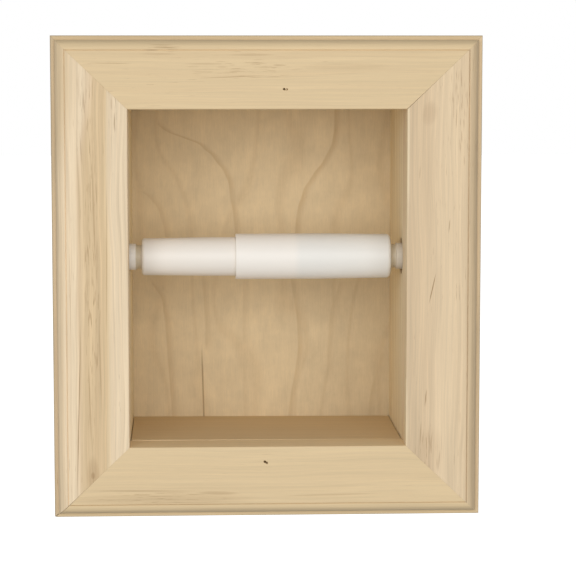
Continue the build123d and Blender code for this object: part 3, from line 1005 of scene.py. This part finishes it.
def birch_plywood(name):
    """Rotary-cut birch veneer: a fine vertical figure, slow arches where the knife passed
    through the rings, a silky mottle, and three plies that show at the edges."""
    finish = bpy.context.scene.holder_finish
    shader = Shader(name)
    x, y, z = shader.axes(shader.millimetres())
    slow = shader.noise(shader.join(x * 0.018 + 4.0, 0.0, z * 0.007), 2.0, 0.45)
    field = slow * 5.0 + x * 0.045
    line = shader.math("PINGPONG", field, 0.5)
    arch = shader.step(0.16, 0.0, line) * 0.18
    cloud = shader.noise(shader.join(x * 0.14 + 9.0, y, z * 0.10), 3.0, 0.6)
    for points, strength in VENEER_LINES:
        line = veneer_line(shader, x, z, points) * strength * (0.3 + cloud)
        arch = shader.math("MAXIMUM", arch, line)
    pores = shader.noise(shader.join(x * 1.6, y * 1.6, z * 0.11), 3.0, 0.6)
    fine = shader.noise(shader.join(x * 5.0, y * 5.0, z * 0.5), 2.0)
    mottle = shader.noise(shader.join(x * 0.05, y, z * 0.06), 3.0, 0.6)
    silk = shader.noise(shader.join(x * 0.16, y, z * 0.02), 2.0)
    tint = shader.mix(arch, (*finish.birch, 1.0), (*finish.birch_dark, 1.0))
    tint = shader.vary(tint, (mottle, 0.24), (silk, 0.14))
    tint = shader.vary(tint, (cloud, 0.22))
    # Painted shade: the lower right is a little darker
    darker = shader.step(-10.0, 45.0, x) * (0.03 + shader.step(10.0, -30.0, z) * 0.09)
    tint = shader.shade(tint, 1.0 - darker)
    tint = shader.vary(tint, (pores, 0.20), (fine, 0.12))
    # An open split low on the left, and the middle ply at the panel's edges
    seam = (x + 30.2 + (z + 58.0) * 0.027) / 0.55
    split = shader.step(1.0, 0.0, seam * seam) * shader.step(-40.0, -56.0, z)
    tint = shader.mix(split * 0.55, tint, (*finish.split, 1.0))
    middle = shader.math("ABSOLUTE", y - (panel_low.y + panel_high.y) / 2 / MM)
    core = shader.step(1.05, 0.85, middle)
    tint = shader.mix(core * 0.6, tint, (*finish.inner_ply, 1.0))
    rough = 0.55 + (pores - 0.5) * 0.25
    height = pores * 0.5 + fine * 0.3 - split - core * 0.5
    return shader.finish(tint, rough, height, 0.05 * MM, Specular_IOR_Level=0.3)


# ---------------------------------------------------------------- plastic and steel
# Places on a tube from the middle out, in millimetres, between which the painted shade towards
# the closed end comes in, the neck's painted shade and reflected wood colour begins and the
# knob's begins
END_SHADE = (46.0, 61.0)
NECK_SHADE = (59.5, 60.5)
KNOB_SHADE = (62.2, 63.0)


def white_plastic(name, side, knob, joint_at=None):
    """Moulded plastic: faint flow marks, fine satin texture and handling scuffs. Where one tube
    lies inside the other, up to joint_at, the skin is a little warmer and brighter: painted light
    that the inner tube throws back through the thin sleeve. Towards the closed end, on side, it
    has painted shade; the neck has painted shade with reflected wood colour, and the knob takes
    the colour knob."""
    finish = bpy.context.scene.holder_finish
    shader = Shader(name)
    place = shader.millimetres()
    x, y, z = shader.axes(place)
    cloudy = shader.noise(shader.join(x * 0.05, y * 0.12, z * 0.12), 3.0, 0.55)
    satin = shader.noise(place, 2.0, 0.5, 5.0)
    scratches = shader.noise(shader.join(x * 0.25, y * 2.0, z * 2.0), 3.0, 0.6)
    scuffs = shader.step(0.64, 0.72, scratches)
    tint = (*finish.plastic, 1.0)
    # Painted light that the inner tube throws back through the thin sleeve
    if joint_at is not None:
        empty = shader.step(joint_at - 3.0, joint_at + 2.0, x)
        tint = shader.mix(empty, (*finish.thick_plastic, 1.0), (*finish.thin_plastic, 1.0))
    reach = x * side
    # Painted shade towards the closed end, and on the neck and the knob
    tint = shader.shade(tint, 1.0 - shader.step(*END_SHADE, reach) * 0.12)
    tint = shader.mix(shader.step(*NECK_SHADE, reach), tint, (*finish.shaded_neck_plastic, 1.0))
    tint = shader.mix(shader.step(*KNOB_SHADE, reach), tint, (*knob, 1.0))
    tint = shader.vary(tint, (cloudy, 0.05))
    rough = 0.42 + (cloudy - 0.5) * 0.12 + (satin - 0.5) * 0.08 + scuffs * 0.12
    return shader.finish(tint, rough, satin * 0.5 + cloudy, 0.02 * MM, Specular_IOR_Level=0.45)


def steel(name, tint):
    """Steel of a tint: a slight tarnish in patches, and fine scratches."""
    rust = (*bpy.context.scene.holder_finish.rust, 1.0)
    shader = Shader(name)
    place = shader.millimetres()
    tarnish = shader.noise(place, 4.0, 0.6, 0.8)
    scratch = shader.noise(place, 3.0, 0.5, 6.0)
    tone = shader.shade((*tint, 1.0), 0.8 + tarnish * 0.35)
    tone = shader.mix(shader.step(0.58, 0.75, tarnish) * 0.4, tone, rust)
    rough = 0.3 + (tarnish - 0.5) * 0.3 + (scratch - 0.5) * 0.15
    return shader.finish(tone, rough, scratch, 0.02 * MM, Metallic=1.0)


# ---------------------------------------------------------------- operators
def settle(piece, body, slot, *nodes):
    """The piece rides on a body and stands for CAD nodes, which it hides; slot is not used."""
    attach(piece, body)
    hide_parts(*nodes)


def clad(node, material):
    """Gives a CAD node's slots a better material."""
    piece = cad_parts[node]
    for place in piece.material_slots:
        place.material = material


class HOLDER_OT_face_frame(bpy.types.Operator):
    """Makes the four moulded members of the face frame"""

    bl_idname = "holder.face_frame"
    bl_label = "Face frame"

    def execute(self, context):
        sizes = context.scene.holder_moulding
        names = {"left": "frame_left_stile", "right": "frame_right_stile",
                 "top": "frame_top_rail", "bottom": "frame_bottom_rail"}
        for side, (along, look) in frame_looks().items():
            name = names[side]
            material = pine(f"pine_{name}", along, look)
            piece = member_skin(sizes, side).make(f"moulded_{name}", material)
            settle(piece, "holder", "pine_frame", name)
        return {"FINISHED"}


class HOLDER_OT_side_boards(bpy.types.Operator):
    """Makes the two side boards with their drilled sockets and brad holes"""

    bl_idname = "holder.side_boards"
    bl_label = "Side boards"

    def execute(self, context):
        sizes = context.scene.holder_box
        ease = sizes.easing
        levels = [sz * (OPENING_Z + BOARD / 2) for sz in (-1, 1)]
        reach = sizes.brad_hole + HOLE_MARGIN
        tangent = AXIS_Z + (AXIS_Y - ease) * np.tan(np.radians(np.arange(-80, 81, 4)))
        fine = (around(SIDE_BRADS, reach, HOLE_STEP),
                np.concatenate([tangent, around(levels, reach, HOLE_STEP)]))
        holes = [(y, z) for z in levels for y in SIDE_BRADS]
        relief = brad_holes(holes, sizes.brad_hole, sizes.brad_sink)
        pale = tuple(context.scene.holder_finish.side_pine)
        for name, inner_face in (("box_left_side", 1), ("box_right_side", 0)):
            low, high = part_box(name)
            socket = {"face": inner_face, "centre": (AXIS_Y, AXIS_Z), "spur": sizes.spur,
                      "radius": sizes.socket_radius, "depth": sizes.socket_depth}
            reliefs = (None, relief) if inner_face == 0 else (relief, None)
            look = {"seed": 20.0 + inner_face, "heart": (190.0, 20.0), "ring": 8.5,
                    "contrast": 0.46, "early": 0.62, "steady": 0.65, "pale": pale,
                    "wander": 8.0, "flecks": 0.2}
            steps = (4 * MM, 5 * MM)
            skin = plank_skin(low, high, "yzx", ease, steps, fine, reliefs, socket)
            piece = skin.make(f"planed_{name}", pine(f"pine_{name}", "side", look))
            settle(piece, "holder", "pine_box", name)
        return {"FINISHED"}


class HOLDER_OT_end_boards(bpy.types.Operator):
    """Makes the top board and the slightly proud floor board"""

    bl_idname = "holder.end_boards"
    bl_label = "Top and floor boards"

    def execute(self, context):
        sizes = context.scene.holder_box
        finish = context.scene.holder_finish
        boards = (("box_top_board", 30.7, (-30.0, 180.0), finish.top_pine),
                  ("box_bottom_board", 33.0, (200.0, -120.0), finish.shaded_floor_pine))
        for name, seed, heart, pale in boards:
            low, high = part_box(name)
            skin = plank_skin(low, high, "xyz", sizes.easing, (8 * MM, 6 * MM))
            if name == "box_bottom_board":
                for points in skin.points:
                    share = (points[:, 0] - low.x) / (high.x - low.x)
                    drop = share * (sizes.floor_rise_left - sizes.floor_rise_right)
                    points[:, 2] -= np.where(points[:, 2] > (low.z + high.z) / 2, drop, 0.0)
            look = {"seed": seed, "heart": heart, "ring": 3.1,
                    "contrast": 0.3, "early": 0.5, "pale": tuple(pale), "wander": 5.0,
                    "flecks": 0.2}
            piece = skin.make(f"planed_{name}", pine(f"pine_{name}", "floor", look))
            settle(piece, "holder", "pine_box", name)
        return {"FINISHED"}


class HOLDER_OT_back_panel(bpy.types.Operator):
    """Makes the plywood back with its brad holes"""

    bl_idname = "holder.back_panel"
    bl_label = "Back panel"

    def execute(self, context):
        sizes = context.scene.holder_box
        middle_x, middle_z = OPENING_X + BOARD / 2, OPENING_Z + BOARD / 2
        centres = [(sx * middle_x, z) for sx in (-1, 1) for z in BACK_BRAD_HEIGHTS]
        centres += [(x, sz * middle_z) for x in BACK_BRAD_PLACES for sz in (-1, 1)]
        reach = sizes.brad_hole + HOLE_MARGIN
        fine = [around(sorted(set(places)), reach, PANEL_HOLE_STEP) for places in zip(*centres)]
        relief = brad_holes(centres, sizes.brad_hole, sizes.panel_brad_sink)
        skin = plank_skin(panel_low, panel_high, "xzy", sizes.panel_easing,
                          (12 * MM, 12 * MM), fine, (None, relief))
        piece = skin.make("veneered_back_panel", birch_plywood("birch_back_panel"))
        settle(piece, "holder", "birch_ply", "back_panel")
        return {"FINISHED"}


class HOLDER_OT_roller(bpy.types.Operator):
    """Makes the two telescoping tubes of the roller"""

    bl_idname = "holder.roller"
    bl_label = "Roller tubes"

    def execute(self, context):
        sizes = context.scene.holder_roller
        outer = tube_profile(
            sizes, sizes.outer_shoulder, outer_low.x, outer_high.x,
            (outer_high.z - outer_low.z) / 2, sizes.outer_wall, sizes.outer_rounding)
        inner = tube_profile(
            sizes, sizes.inner_shoulder, -inner_high.x, -inner_low.x,
            (inner_high.z - inner_low.z) / 2, sizes.inner_wall, sizes.inner_rounding)
        finish = context.scene.holder_finish
        plain = white_plastic("plastic_inner_tube", -1, finish.plastic)
        zoned = white_plastic("plastic_outer_tube", 1, finish.shaded_knob_plastic, inner_high.x / MM)
        piece = turned(outer, 1).make("moulded_outer_tube", zoned)
        settle(piece, "roller_outer", "white_plastic", "roller_outer_tube")
        piece = turned(inner, -1).make("moulded_inner_tube", plain)
        settle(piece, "roller_inner", "white_plastic", "roller_inner_tube")
        return {"FINISHED"}


class HOLDER_OT_spring(bpy.types.Operator):
    """Makes the compression spring inside the roller"""

    bl_idname = "holder.spring"
    bl_label = "Spring"

    def execute(self, context):
        sizes = context.scene.holder_roller
        low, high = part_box("roller_spring")
        start, stop = low.x + sizes.wire_radius, high.x - sizes.wire_radius
        material = steel("spring_steel", tuple(context.scene.holder_finish.spring))
        piece = coil_skin(sizes, start, stop).make("coiled_spring", material)
        settle(piece, "roller_outer", "spring_steel", "roller_spring")
        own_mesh(piece)
        return {"FINISHED"}


class HOLDER_OT_nails(bpy.types.Operator):
    """Gives the brads and mitre nails their steel"""

    bl_idname = "holder.nails"
    bl_label = "Brads and nails"

    def execute(self, context):
        finish = context.scene.holder_finish
        bright = steel("nail_steel", tuple(finish.steel))
        for node in ("box_corner_brads", "back_panel_brads", "mitre_v_nails"):
            clad(node, bright)
        clad("frame_brads", steel("dark_brad_steel", tuple(finish.dark_brad)))
        return {"FINISHED"}


SENSOR_WIDTH = 36.0
WINDOW_SIZE = (3.0, 2.0)
FLOOR_REACH = 6.0


class HOLDER_OT_stage(bpy.types.Operator):
    """Makes the camera, the soft lights and the pale floor"""

    bl_idname = "holder.stage"
    bl_label = "Stage"

    def execute(self, context):
        scene, stage = context.scene, context.scene.holder_stage
        data = bpy.data.cameras.new("camera")
        data.lens = stage.lens
        data.sensor_width = SENSOR_WIDTH
        ahead = Vector((sin(stage.heading) * cos(stage.tilt),
                        cos(stage.heading) * cos(stage.tilt), -sin(stage.tilt)))
        scene.camera = self.aimed(scene, data, stage.eye, ahead)
        scene.view_settings.view_transform = "Standard"
        self.light(scene, stage)
        self.sky(scene, stage)
        self.floor(stage)
        return {"FINISHED"}

    def aimed(self, scene, data, place, ahead):
        """An object for the data, which looks along the direction ahead from its place."""
        thing = bpy.data.objects.new(data.name, data)
        scene.collection.objects.link(thing)
        thing.location = place
        thing.rotation_mode = "QUATERNION"
        thing.rotation_quaternion = ahead.to_track_quat("-Z", "Y")
        return thing

    def light(self, scene, stage):
        """A large soft light in front, to the left and a little above."""
        data = bpy.data.lights.new("window_light", "AREA")
        data.shape = "RECTANGLE"
        data.size, data.size_y = WINDOW_SIZE
        data.energy = stage.key
        self.aimed(scene, data, stage.key_place, -Vector(stage.key_place))

    def sky(self, scene, stage):
        """Even light from all round, seen as plain white."""
        world = bpy.data.worlds.new("soft_sky")
        world.use_nodes = True
        scene.world = world
        tree = world.node_tree
        background = tree.nodes["Background"]
        background.inputs["Color"].default_value = (1.0, 1.0, 1.0, 1.0)
        seen = tree.nodes.new("ShaderNodeLightPath")
        strength = tree.nodes.new("ShaderNodeMapRange")
        strength.inputs["To Min"].default_value = stage.sky
        strength.inputs["To Max"].default_value = 1.0
        tree.links.new(seen.outputs["Is Camera Ray"], strength.inputs["Value"])
        tree.links.new(strength.outputs[0], background.inputs["Strength"])

    def floor(self, stage):
        """A plain pale floor, a flat grid well below the object."""
        reach = np.linspace(-FLOOR_REACH, FLOOR_REACH, 9)
        x, y = np.meshgrid(reach, reach, indexing="ij")
        shader = Shader("pale_floor")
        cloud = shader.noise(shader.node("ShaderNodeTexCoord", {}, "Object"), 2.0, 0.5, 3.0)
        tint = shader.shade(linear(250, 250, 250), 0.99 + cloud * 0.02)
        material = shader.finish(tint, 0.8, cloud, 0.1 * MM, Emission_Color=(1, 1, 1, 1),
                                 Emission_Strength=0.7)
        skin = Skin()
        skin.add(np.stack([x, y, np.full_like(x, cad_low.z - stage.floor_drop)], -1))
        floor = skin.make("pale_floor", material)
        floor.visible_diffuse = floor.visible_glossy = False


class HOLDER_PT_panel(bpy.types.Panel):
    """Lists the steps that build the paper holder"""

    bl_idname = "HOLDER_PT_panel"
    bl_label = "Paper Holder"
    bl_space_type = "VIEW_3D"
    bl_region_type = "UI"
    bl_category = "Paper Holder"

    def draw(self, context):
        for operator in OPERATORS:
            self.layout.operator(operator.bl_idname)
        for group in GROUPS:
            settings = getattr(context.scene, group)
            box = self.layout.box()
            for name in settings.bl_rna.properties.keys():
                if name not in ("rna_type", "name"):
                    box.prop(settings, name)


GROUPS = {
    "holder_moulding": MouldingSettings,
    "holder_box": BoxSettings,
    "holder_roller": RollerSettings,
    "holder_finish": FinishSettings,
    "holder_stage": StageSettings,
}
OPERATORS = (
    HOLDER_OT_stage,
    HOLDER_OT_face_frame,
    HOLDER_OT_side_boards,
    HOLDER_OT_end_boards,
    HOLDER_OT_back_panel,
    HOLDER_OT_roller,
    HOLDER_OT_spring,
    HOLDER_OT_nails,
)


def register():
    """Registers the settings on the scene, the operators and the panel."""
    for name, group in GROUPS.items():
        bpy.utils.register_class(group)
        setattr(bpy.types.Scene, name, PointerProperty(type=group))
    for kind in (*OPERATORS, HOLDER_PT_panel):
        bpy.utils.register_class(kind)


def unregister():
    """Takes everything off again, in the opposite order."""
    for kind in (HOLDER_PT_panel, *reversed(OPERATORS)):
        bpy.utils.unregister_class(kind)
    for name, group in reversed(GROUPS.items()):
        delattr(bpy.types.Scene, name)
        bpy.utils.unregister_class(group)


def main():
    """Builds the whole object."""
    register()
    bpy.ops.holder.stage()
    bpy.ops.holder.face_frame()
    bpy.ops.holder.side_boards()
    bpy.ops.holder.end_boards()
    bpy.ops.holder.back_panel()
    bpy.ops.holder.roller()
    bpy.ops.holder.spring()
    bpy.ops.holder.nails()


if __name__ == "__main__":
    main()
